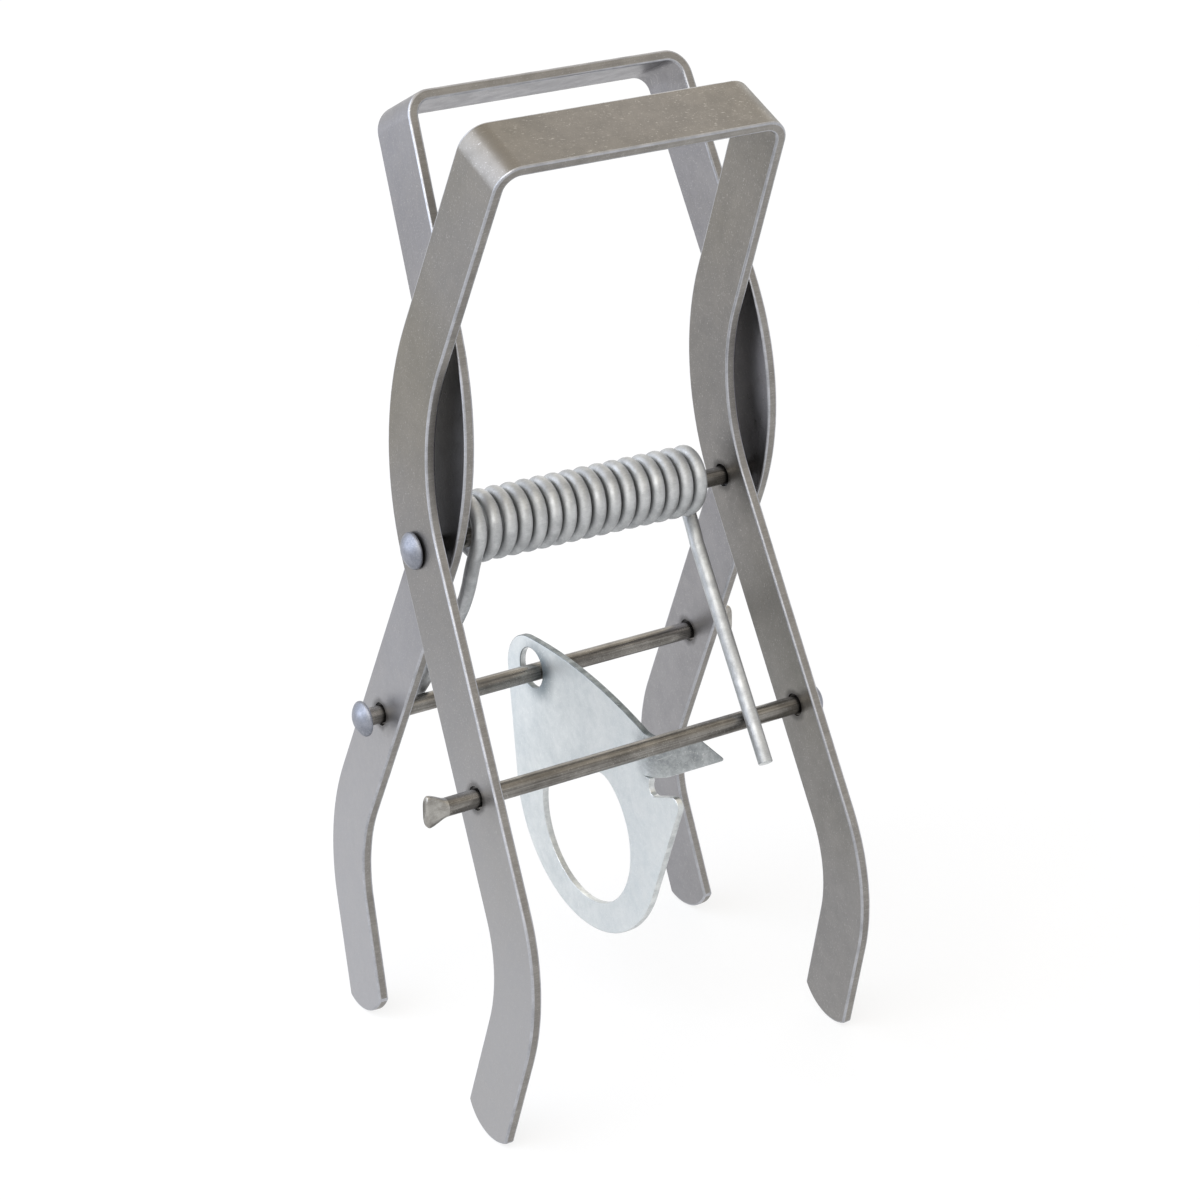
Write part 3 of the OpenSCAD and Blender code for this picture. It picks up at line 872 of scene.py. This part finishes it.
@dataclass
class DomedHead:
    """A domed head, drawn as a profile that rises from its seat at 0 along +X."""

    radius: float = 4.0 * MM
    height: float = 2.4 * MM
    edge: float = 0.6 * MM
    softness: float = 0.22 * MM
    steps: int = 14

    def profile(self) -> list[tuple[float, float]]:
        """Points as (height, radius), from the seat's rim to the middle of the dome."""
        rise = self.height - self.edge
        dome = (self.radius**2 + rise**2) / (2 * rise)
        start = math.asin(self.radius / dome)
        points = [(0.0, self.radius - self.softness)]
        points += [(self.softness * 0.3, self.radius - self.softness * 0.3)]
        points += [(self.softness, self.radius), (self.edge * 0.8, self.radius)]
        for i in range(1, self.steps + 1):
            turn = start * (1 - i / self.steps)
            points.append((self.height - dome * (1 - math.cos(turn)), dome * math.sin(turn)))
        return points


@dataclass
class PivotPin:
    """The riveted pin that the frames turn on."""

    half_length: float = 43.0 * MM

    def build(self, finishes: Finishes) -> Object:
        """Makes the pin with a head at each end.

        Args:
            finishes: The trap's finishes.

        Returns:
            The finished piece.
        """
        head = [(self.half_length + x, r) for x, r in DomedHead().profile()]
        right = [(0.0, ROD_RADIUS), (self.half_length - NECK, ROD_RADIUS)]
        right += [(self.half_length, ROD_RADIUS + NECK)] + head
        left = [(-x, r) for x, r in reversed(right[1:])]
        bm = start_mesh()
        lathe(bm, left + right, ROD_SIDES)
        for face in bm.faces:
            face.material_index = int(abs(face.calc_center_median().x) > self.half_length - NECK / 2)
        bmesh.ops.recalc_face_normals(bm, faces=bm.faces)
        bmesh.ops.translate(bm, vec=(MIDDLE_X, 0, PIVOT_HEIGHT), verts=bm.verts)
        piece = new_piece("pivot_pin_turned", bm, [finishes["drawn_rod_steel"], finishes["headed_steel"]])
        crisp_edges(piece, limit=35)
        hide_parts("pivot_pin")
        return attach(piece, "pin")


@dataclass
class CrossRod:
    """A headed rod whose other end was squeezed flat after it was put in."""

    side: Side
    head_aside: float = 42.12 * MM
    length: float = 97.8 * MM
    flat_length: float = 5.8 * MM
    flat_sag: float = 0.55 * MM
    flat_half_width: float = 3.5 * MM

    def _flatten(self, bm: BMesh, ring: Sweep) -> None:
        """Grows the flattened end from the shank's last ring.

        Args:
            bm: The mesh.
            ring: The shank's open ring.
        """
        start = self.length - self.flat_length
        bearing = bm.verts.layers.float["bearing"]
        for vert in ring.verts:
            vert[bearing] = math.atan2(vert.co.z, vert.co.y)
        # Share of the flattened length, half width and half thickness in mm, and squareness
        sections = (
            (0.06, 2.00, 1.96, 2.0),
            (0.14, 2.03, 1.80, 2.1),
            (0.24, 2.14, 1.50, 2.4),
            (0.34, 2.34, 1.20, 3.0),
            (0.45, 2.62, 0.98, 3.8),
            (0.57, 2.92, 0.88, 4.6),
            (0.70, 3.20, 0.84, 5.0),
            (0.83, 3.42, 0.86, 5.0),
            (0.92, 3.50, 0.88, 5.0),
            (0.97, 3.46, 0.82, 4.6),
            (1.0, 3.30, 0.66, 4.0),
        )
        for share, wide, thick, square in sections:
            for vert in ring.step(Matrix.Identity(4)):
                cosine, sine = math.cos(vert[bearing]), math.sin(vert[bearing])
                sag = self.flat_sag * share * (wide * MM * sine / self.flat_half_width) ** 2
                vert.co = (
                    start + share * self.flat_length - sag,
                    thick * MM * math.copysign(abs(cosine) ** (2 / square), cosine),
                    wide * MM * math.copysign(abs(sine) ** (2 / square), sine),
                )
        bmesh.ops.contextual_create(bm, geom=ring.edges)

    def build(self, finishes: Finishes) -> Object:
        """Makes the rod.

        Args:
            finishes: The trap's finishes.

        Returns:
            The finished piece.
        """
        head = [(-x, r) for x, r in reversed(DomedHead().profile())]
        shank = [(0.0, ROD_RADIUS + NECK), (NECK, ROD_RADIUS), (self.length - self.flat_length, ROD_RADIUS)]
        bm = start_mesh()
        rim = lathe(bm, head + shank, ROD_SIDES)
        self._flatten(bm, Sweep(bm, list({v for e in rim for v in e.verts}), rim))
        bmesh.ops.recalc_face_normals(bm, faces=bm.faces)
        for face in bm.faces:
            middle = face.calc_center_median().x
            crushed = middle > self.length - 0.85 * self.flat_length
            face.material_index = 1 if middle < NECK / 2 else 2 if crushed else 0
        turn = Matrix.Rotation(0 if self.side is Side.REAR else math.pi, 4, "Z")
        sign = self.side.sign
        place = Matrix.Translation((-sign * self.head_aside, sign * ROD_DEPTH, ROD_HEIGHT))
        bmesh.ops.transform(bm, matrix=place @ turn, verts=bm.verts)
        side = self.side.value
        steels = [finishes[n] for n in ("drawn_rod_steel", "headed_steel", "crushed_rod_end")]
        piece = new_piece(f"{side}_cross_rod_turned", bm, steels)
        crisp_edges(piece, limit=35)
        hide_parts(f"{side}_cross_rod")
        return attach(piece, f"{side}_rod")


@dataclass
class TorsionSpring:
    """The spring on the pivot pin: one wire, wound between a bent leg and a straight one."""

    wire: float = 3.2 * MM
    radius: float = 6.1 * MM
    length: float = 58.1 * MM
    left_shift: float = 1.9 * MM
    turns: int = 15
    unevenness: float = 0.13 * MM
    lift_left: float = 2.1 * MM
    lift_right: float = 0.8 * MM
    leg: float = 63.5 * MM
    left_start: float = 8.0 * MM
    right_start: float = 12.7 * MM
    left_lean: float = math.radians(20)
    bend_radius: float = 60.0 * MM
    left_drift: float = 3.6 * MM
    right_drift: float = 5.2 * MM
    clearance: float = 0.25 * MM
    end_arris: float = 0.28 * MM
    sides: int = 18
    steps_per_turn: int = 48
    leg_steps: int = 30
    # Where the twist between the jaws starts and ends, left and right of the trap's middle
    twist_left: float = 25.0 * MM
    twist_right: float = 20.0 * MM

    def _leg_angle(self, radius: float, depth: float, drop: float) -> float:
        """Lean of a leg that leaves a bend and passes just outside its cross rod.

        Args:
            radius: Radius of the bend.
            depth: How far the rod lies outward of the bend's middle.
            drop: How far it lies below.

        Returns:
            The lean from upright.
        """
        bearing = radius + ROD_RADIUS + self.wire / 2 + self.clearance
        return math.atan2(depth, drop) + math.asin(bearing / math.hypot(depth, drop))

    def path(self) -> list[Vector]:
        """The wire's middle line, from the left leg's end to the right leg's end."""
        drop = PIVOT_HEIGHT - ROD_HEIGHT
        over = self.bend_radius - self.radius
        left = self._leg_angle(
            self.bend_radius,
            ROD_DEPTH - over * math.cos(self.left_lean),
            drop + self.lift_left + over * math.sin(self.left_lean),
        )
        right = self._leg_angle(self.radius, ROD_DEPTH, drop + self.lift_right)
        bend_length = self.bend_radius * (left - self.left_lean)
        sweep = 2 * math.pi * (self.turns + 0.5) + self.left_lean + right
        slope = self.length / (sweep * self.radius)
        steps = round(sweep / (2 * math.pi) * self.steps_per_turn)

        def coil(share: float) -> Vector:
            """Point of the coil, from its left end at 0 to its right end at 1."""
            angle = math.pi + self.left_lean - share * sweep
            lift = self.lift_left + share * (self.lift_right - self.lift_left)
            uneven = self.unevenness * math.sin(9.5 * share + 0.4) * math.sin(math.pi * share)
            across = (share - 0.5) * self.length - self.left_shift + uneven
            return Vector((across, self.radius * math.cos(angle), self.radius * math.sin(angle) + lift))

        def left_leg(along: float) -> Vector:
            """Point of the left leg, which bows out and drifts in towards the middle."""
            lean = min(self.left_lean + along / self.bend_radius, left)
            straight = max(along - bend_length, 0.0)
            ease = max(1 - along / self.left_start, 0.0)
            rest = 1 - max(along - self.left_start, 0.0) / (self.leg - self.left_start)
            aside = self.left_drift * (1 - rest**2) - slope * along * ease
            back = self.bend_radius * (math.cos(self.left_lean) - math.cos(lean)) + straight * math.sin(lean)
            up = self.bend_radius * (math.sin(self.left_lean) - math.sin(lean)) - straight * math.cos(lean)
            return coil(0) + Vector((aside, back, up))

        def right_leg(along: float) -> Vector:
            """Point of the right leg, which leans in towards the middle."""
            ease = max(1 - along / self.right_start, 0.0)
            aside = slope * along * ease - self.right_drift * along / self.leg
            return coil(1) + Vector((aside, -along * math.sin(right), -along * math.cos(right)))

        places = [self.leg * i / self.leg_steps for i in range(1, self.leg_steps + 1)]
        points = [left_leg(along) for along in reversed(places)]
        points += [coil(i / steps) for i in range(steps + 1)]
        points += [right_leg(along) for along in places]
        return [p + Vector((MIDDLE_X, 0, PIVOT_HEIGHT)) for p in points]

    def build(self, finishes: Finishes) -> Object:
        """Makes the spring. Its left leg follows the rear jaw, its right leg the front one.

        Args:
            finishes: The trap's finishes.

        Returns:
            The finished piece.
        """
        points = self.path()
        ways = [(b - a).normalized() for a, b in zip(points, points[1:])]
        ways = [ways[0]] + [(a + b).normalized() for a, b in zip(ways, ways[1:])] + [ways[-1]]
        bm = start_mesh()
        face_on = Vector((0, 0, 1)).rotation_difference(ways[0]).to_matrix().to_4x4()
        place = Matrix.Translation(points[0]) @ face_on
        verts = bmesh.ops.create_circle(bm, segments=self.sides, radius=self.wire / 2, matrix=place)["verts"]
        first = bm.edges[:]
        tube = Sweep(bm, verts, first)
        for here, there, way, onward in zip(points, points[1:], ways, ways[1:]):
            turn = way.rotation_difference(onward).to_matrix().to_4x4()
            tube.step(Matrix.Translation(there) @ turn @ Matrix.Translation(-here))
        ends = [bmesh.ops.contextual_create(bm, geom=edges)["faces"][0] for edges in (first, tube.edges)]
        bmesh.ops.recalc_face_normals(bm, faces=bm.faces)
        rims = list({e for face in ends for e in face.edges})
        for face in ends:
            face.material_index = 1
        bmesh.ops.bevel(
            bm, geom=rims, offset=self.end_arris, segments=3, profile=0.5, affect="EDGES", material=-1
        )
        steels = [finishes["plated_wire"], finishes["sheared_sheet_edge"]]
        piece = new_piece("torsion_spring_wire", bm, steels)
        crisp_edges(piece, limit=40)
        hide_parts("spring")
        left = Vector((MIDDLE_X - self.twist_left, 0, PIVOT_HEIGHT))
        right = Vector((MIDDLE_X + self.twist_right, 0, PIVOT_HEIGHT))
        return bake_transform(piece, "rear_jaw", "front_jaw", start=left, end=right)


class OutlinePen:
    """Draws an outline of lines and arcs in the XY plane, one vertex after another."""

    longest_step: float = 0.7 * MM

    def __init__(self, bm: BMesh, start: Vector) -> None:
        """Puts the pen down at a point."""
        self.bm = bm
        self.first = self.last = bmesh.ops.create_vert(bm, co=start)["vert"][0]

    def line(self, to: Vector) -> BMVert:
        """Draws a straight line to a point and returns its end."""
        self.last = bmesh.ops.extrude_vert_indiv(self.bm, verts=[self.last])["verts"][0]
        self.last.co = to
        return self.last

    def arc(self, centre: Vector, to: Vector, clockwise: bool = True) -> BMVert:
        """Draws an arc round a centre, until it faces a point.

        Args:
            centre: The arc's centre.
            to: Its end, or a point beyond it from the centre.
            clockwise: Which way round it goes.

        Returns:
            The arc's end.
        """
        start, end = self.last.co - centre, to - centre
        angle = (math.atan2(end.y, end.x) - math.atan2(start.y, start.x)) % (2 * math.pi)
        if clockwise:
            angle -= 2 * math.pi
        steps = max(4, math.ceil(abs(angle) * start.length / self.longest_step))
        made = bmesh.ops.spin(
            self.bm, geom=[self.last], cent=centre, axis=(0, 0, 1), angle=angle, steps=steps
        )["geom_last"]
        self.last = new_verts(made)[0]
        return self.last

    def close(self) -> None:
        """Joins the last point to the first."""
        if (self.last.co - self.first.co).length < 1e-6:
            bmesh.ops.pointmerge(self.bm, verts=[self.last, self.first], merge_co=self.first.co)
        else:
            bmesh.ops.contextual_create(self.bm, geom=[self.last, self.first])


def heading(angle: float) -> Vector:
    """The way at an angle in the XY plane, as a vector of length 1."""
    return Vector((math.cos(angle), math.sin(angle), 0))


def touch_points(first: Vector, first_radius: float, second: Vector, second_radius: float) -> list[Vector]:
    """Where the line from one circle to another touches them.

    Args:
        first: Middle of the first circle.
        first_radius: Its radius, negative where the line runs along its right side.
        second: Middle of the second circle.
        second_radius: Its radius, with the same sign rule.

    Returns:
        The two points.
    """
    gap = second - first
    turn = math.atan2(gap.y, gap.x) + math.pi / 2 - math.asin((first_radius - second_radius) / gap.length)
    return [first + first_radius * heading(turn), second + second_radius * heading(turn)]


def flat(forward: float, up: float) -> Vector:
    """A point of the trigger plate in mm, forward of the rear rod's axis and above it."""
    return Vector((forward * MM, up * MM, 0))


@dataclass
class TriggerPlate:
    """The stamped trigger: a boss on the rear rod, a ring, and a tab behind the front rod."""

    thickness: float = 1.5 * MM
    face_x: float = 1.2 * MM
    boss_radius: float = 9.2 * MM
    disc_radius: float = 28.7 * MM
    ring_radius: float = 17.7 * MM
    ring_corner: float = 8.0 * MM
    ring_top: float = -18.0 * MM
    ring_turn: float = math.radians(19)
    hole_radius: float = 4.7 * MM
    top_radius: float = 130.0 * MM
    top_lean: float = math.radians(2)
    nose_radius: float = 2.0 * MM
    slot_radius: float = 1.8 * MM
    horn: float = 2.5 * MM
    horn_bearing: float = 2.6
    bend_radius: float = 4.6 * MM
    tab_face: float = 46.484 * MM
    tab_reach: float = 18.9 * MM
    tab_drop: float = 9.7 * MM
    tab_corner: float = 1.2 * MM
    rim: float = 0.35 * MM
    arris: float = 0.16 * MM

    def __post_init__(self) -> None:
        """Places the circles of the outline."""
        self.boss = flat(-3.4, -2)
        self.disc = flat(18.7, -27)
        self.ring = flat(18.9, -31.2)
        self.nose = flat(53.534, -12.8)
        self.hole = flat(-2.45, 0)
        self.fold_start = self.tab_face - self.bend_radius
        lean = Vector((math.sin(self.top_lean), -math.cos(self.top_lean), 0))
        self.top_middle = self.boss + (self.top_radius - self.boss_radius) * lean
        self.boss_top = self.boss - self.boss_radius * lean
        slot_forward = self.fold_start + self.horn + self.slot_radius
        self.slot = Vector((slot_forward, -self.tab_drop - self.slot_radius, 0))

    def _top_edge(self, forward: float) -> float:
        """Height of the long top edge at a place along the plate."""
        return self.top_middle.y + math.sqrt(self.top_radius**2 - (forward - self.top_middle.x) ** 2)

    def _outline(self, bm: BMesh) -> tuple[BMVert, BMVert]:
        """Draws the plate's outline.

        Args:
            bm: The mesh.

        Returns:
            The upper and lower ends of the fold line.
        """
        slot_edge = touch_points(self.slot, -self.slot_radius, self.nose, self.nose_radius)
        front = touch_points(self.nose, self.nose_radius, self.disc, self.disc_radius)
        back = touch_points(self.disc, self.disc_radius, self.boss, self.boss_radius)
        pen = OutlinePen(bm, self.boss_top)
        upper = pen.arc(self.top_middle, Vector((self.fold_start, self._top_edge(self.fold_start), 0)))
        lower = pen.line(Vector((self.fold_start, -self.tab_drop, 0)))
        horn_end = self.slot + self.slot_radius * heading(self.horn_bearing)
        pen.line(Vector((horn_end.x, -self.tab_drop, 0)))
        pen.line(horn_end)
        pen.arc(self.slot, slot_edge[0], clockwise=False)
        pen.line(slot_edge[1])
        pen.arc(self.nose, front[0])
        pen.line(front[1])
        pen.arc(self.disc, back[0])
        pen.line(back[1])
        pen.arc(self.boss, self.boss_top)
        pen.close()
        return upper, lower

    def _ring_opening(self, bm: BMesh) -> None:
        """Draws the ring's opening: round, with a flat top between two tighter corners.

        Args:
            bm: The mesh.
        """
        turn = Matrix.Rotation(self.ring_turn, 3, "Z")
        up = self.ring_top - self.ring.y - self.ring_corner
        inner = self.ring_radius - self.ring_corner
        join = math.asin(up / inner)
        front_way = turn @ Vector((math.cos(join), math.sin(join), 0))
        rear_way = turn @ Vector((-math.cos(join), math.sin(join), 0))
        front, rear = self.ring + inner * front_way, self.ring + inner * rear_way
        top = turn @ Vector((0, self.ring_corner, 0))
        pen = OutlinePen(bm, rear + top)
        pen.line(front + top)
        pen.arc(front, self.ring + self.ring_radius * front_way)
        pen.arc(self.ring, self.ring + self.ring_radius * rear_way)
        pen.arc(rear, rear + top)
        pen.close()

    def _tab(self, bm: BMesh, upper: BMVert, lower: BMVert) -> None:
        """Grows the tab from the fold line, round its bend and along the front rod.

        Args:
            bm: The mesh.
            upper: Upper end of the fold line.
            lower: Lower end of the fold line.
        """
        middle = self.bend_radius - self.thickness / 2
        wall = Sweep(bm, [upper, lower], [bm.edges.get((upper, lower))])
        steps = 10
        centre = Vector((self.fold_start, 0, -middle))
        for _ in range(steps):
            wall.bend(centre, Vector((0, 1, 0)), math.pi / 2 / steps, steps=1, length=0)
            high = max(wall.verts, key=lambda v: v.co.y)
            high.co.y = self._top_edge(high.co.x)
        wall.step(Matrix.Identity(4))
        for vert in wall.verts:
            vert.co.z = vert.co.y + self.tab_drop - (self.tab_reach - self.thickness / 2)
        tip = min(wall.verts, key=lambda v: v.co.y)
        bmesh.ops.bevel(
            bm, geom=[tip], offset=self.tab_corner, segments=4, profile=0.5, affect="VERTICES", material=-1
        )

    def _paint_edge_light_and_shade(self, piece: Object) -> None:
        """Paints shade on the long top edge with the burr's darker grey, and a highlight on the tab's lower
        arris with the lighter edge grey.

        Args:
            piece: The plate, with its sheared edge in slot 1 and its arrises in slot 2.
        """
        level = ROD_HEIGHT - self.tab_drop
        for face in piece.data.polygons:
            # Painted shade on the upward long top edge; painted highlight on the tab's lower arris
            if face.material_index == 1 and face.normal.z > 0.35 and face.center.z > level + 1.0 * MM:
                face.material_index = 2
            elif face.material_index == 2 and face.center.z < level + 0.5 * MM:
                face.material_index = 1

    def build(self, finishes: Finishes) -> Object:
        """Makes the plate with its ring and its folded tab.

        Args:
            finishes: The trap's finishes.

        Returns:
            The finished piece.
        """
        bm = start_mesh()
        upper, lower = self._outline(bm)
        self._ring_opening(bm)
        hole = Matrix.Translation(self.hole)
        bmesh.ops.create_circle(bm, segments=112, radius=self.hole_radius, matrix=hole)
        bmesh.ops.triangle_fill(bm, use_beauty=True, edges=bm.edges[:], normal=(0, 0, 1))
        bmesh.ops.inset_region(
            bm, faces=bm.faces[:], thickness=self.rim, use_boundary=True, use_even_offset=True
        )
        self._tab(bm, upper, lower)
        bmesh.ops.recalc_face_normals(bm, faces=bm.faces)
        stand = Matrix(((0, 0, -1, 0), (-1, 0, 0, 0), (0, 1, 0, 0), (0, 0, 0, 1)))
        middle_x = MIDDLE_X + self.face_x + self.thickness / 2
        place = Matrix.Translation((middle_x, ROD_DEPTH, ROD_HEIGHT)) @ stand
        bmesh.ops.transform(bm, matrix=place, verts=bm.verts)
        names = ("plated_trigger_sheet", "sheared_sheet_edge", "sheared_sheet_burr")
        piece = new_piece("trigger_plate_stamped", bm, [finishes[n] for n in names])
        thicken(piece, self.thickness)
        soften(piece, self.arris, segments=2, limit=50, material=2)
        even_shading(piece)
        settle(piece)
        self._paint_edge_light_and_shade(piece)
        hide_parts("trigger_plate")
        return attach(piece, "trigger")


@dataclass(frozen=True)
class Softbox:
    """A square soft lamp that faces the trap, with its side in metres and its power in watts."""

    name: str
    place: tuple[float, float, float]
    size: float
    power: float
    colour: Colour
    aim: ClassVar[Vector] = Vector((0, 0, 0.11))

    def hang(self) -> None:
        """Hangs the lamp."""
        data = bpy.data.lights.new(self.name, "AREA")
        data.shape = "SQUARE"
        data.size = self.size
        data.energy = self.power
        data.color = self.colour
        lamp = bpy.data.objects.new(self.name, data)
        turn = (self.aim - Vector(self.place)).to_track_quat("-Z", "Y").to_matrix().to_4x4()
        lamp.matrix_world = Matrix.Translation(self.place) @ turn
        bpy.context.scene.collection.objects.link(lamp)


@dataclass
class Studio:
    """Pale floor, soft lamps and the camera at the photograph's angle."""

    azimuth: float = math.radians(-32.995)
    elevation: float = math.radians(21.914)
    roll: float = math.radians(-1.1245)
    camera_place: tuple[float, float, float] = (-347.39 * MM, -540.83 * MM, 359.87 * MM)
    lens: float = 96.52
    floor_reach: float = 6.0
    floor_glow: float = 1.06
    # How far off the floor's shadows start to fade, and are gone
    fade: Span = (0.35, 1.6)
    lamps: tuple[Softbox, ...] = (
        Softbox("key_lamp", (-0.9, -0.8, 1.3), size=1.5, power=15.0, colour=(1.0, 0.99, 0.97)),
        Softbox("side_lamp", (-1.1, 0.55, 0.85), size=1.8, power=22.0, colour=(0.76, 0.84, 1.0)),
        Softbox("back_lamp", (0.9, 1.0, 1.1), size=1.2, power=3.0, colour=(1.0, 0.98, 0.95)),
    )

    def camera(self) -> None:
        """Makes the camera."""
        a, e, t = self.azimuth, self.elevation, self.roll
        back = Vector((math.sin(a) * math.cos(e), -math.cos(a) * math.cos(e), math.sin(e)))
        level = (-back).cross(Vector((0, 0, 1))).normalized()
        over = level.cross(-back)
        right = math.cos(t) * level + math.sin(t) * over
        up = -math.sin(t) * level + math.cos(t) * over
        data = bpy.data.cameras.new("camera")
        data.lens = self.lens
        data.sensor_width = 36.0
        data.clip_start = 0.01
        camera = bpy.data.objects.new("camera", data)
        turn = Matrix((right, up, back)).transposed().to_4x4()
        camera.matrix_world = Matrix.Translation(self.camera_place) @ turn
        bpy.context.scene.collection.objects.link(camera)
        bpy.context.scene.camera = camera

    def _seen(self, sheet: NodeSheet) -> Socket:
        """1 for rays that show the background: from the camera, mirrored or let through."""
        path = sheet.add("LightPath")
        rays = sheet.math("MAXIMUM", path.outputs["Is Camera Ray"], path.outputs["Is Glossy Ray"])
        return sheet.math("MAXIMUM", rays, path.outputs["Is Transmission Ray"])

    def floor(self) -> None:
        """Lays the pale floor: near white with the trap's shadow, and pure white far off."""
        bm = start_mesh()
        bmesh.ops.create_grid(bm, x_segments=1, y_segments=1, size=self.floor_reach)
        sheet = MaterialSheet("studio_floor")
        sheet.feed(sheet.shader.inputs["Base Color"], (0.9, 0.9, 0.9))
        sheet.feed(sheet.shader.inputs["Roughness"], 0.9)
        glow = sheet.add("Emission", Color=(1.0, 1.0, 1.0), Strength=self.floor_glow)
        away = sheet.add("VectorMath", operation="LENGTH", Vector=sheet.place).outputs["Value"]
        share = sheet.times(self._seen(sheet), sheet.span(sheet.ramp(away, *self.fade), 0.75, 1.0))
        sheet.surface(sheet.through("MixShader", share, sheet.shader.outputs[0], glow.outputs[0]))
        new_piece("studio_floor", bm, [sheet.material])

    def world(self) -> None:
        """Soft light from all round, and a white background."""
        world = bpy.data.worlds.new("studio")
        world.use_nodes = True
        sheet = NodeSheet(world.node_tree)
        height = sheet.add("SeparateXYZ", Vector=sheet.add("TexCoord").outputs["Generated"]).outputs[2]
        colour = sheet.mix(sheet.ramp(height, 0.1, 0.9), (1.0, 1.0, 1.0), (1.0, 0.93, 0.82))
        soft = sheet.add("Background", Color=colour, Strength=0.45)
        white = sheet.add("Background", Color=colour, Strength=1.0)
        sheet.surface(sheet.through("MixShader", self._seen(sheet), soft.outputs[0], white.outputs[0]))
        bpy.context.scene.world = world

    def build(self) -> None:
        """Sets the whole studio."""
        self.camera()
        self.floor()
        self.world()
        for lamp in self.lamps:
            lamp.hang()
        bpy.context.scene.view_settings.view_transform = "Standard"


def main() -> None:
    """Builds the trap and its studio, and logs each new piece's face count."""
    logging.basicConfig(level=logging.INFO, format="%(message)s")
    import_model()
    Studio().build()
    finishes = make_finishes()
    makers: list[Callable[[Finishes], Object]] = [
        *(BentFrame(side).build for side in Side),
        PivotPin().build,
        TorsionSpring().build,
        *(CrossRod(side).build for side in Side),
        TriggerPlate().build,
    ]
    for make in makers:
        piece = make(finishes)
        LOG.info("%s: %d faces", piece.name, len(piece.data.polygons))


if __name__ == "__main__":
    main()
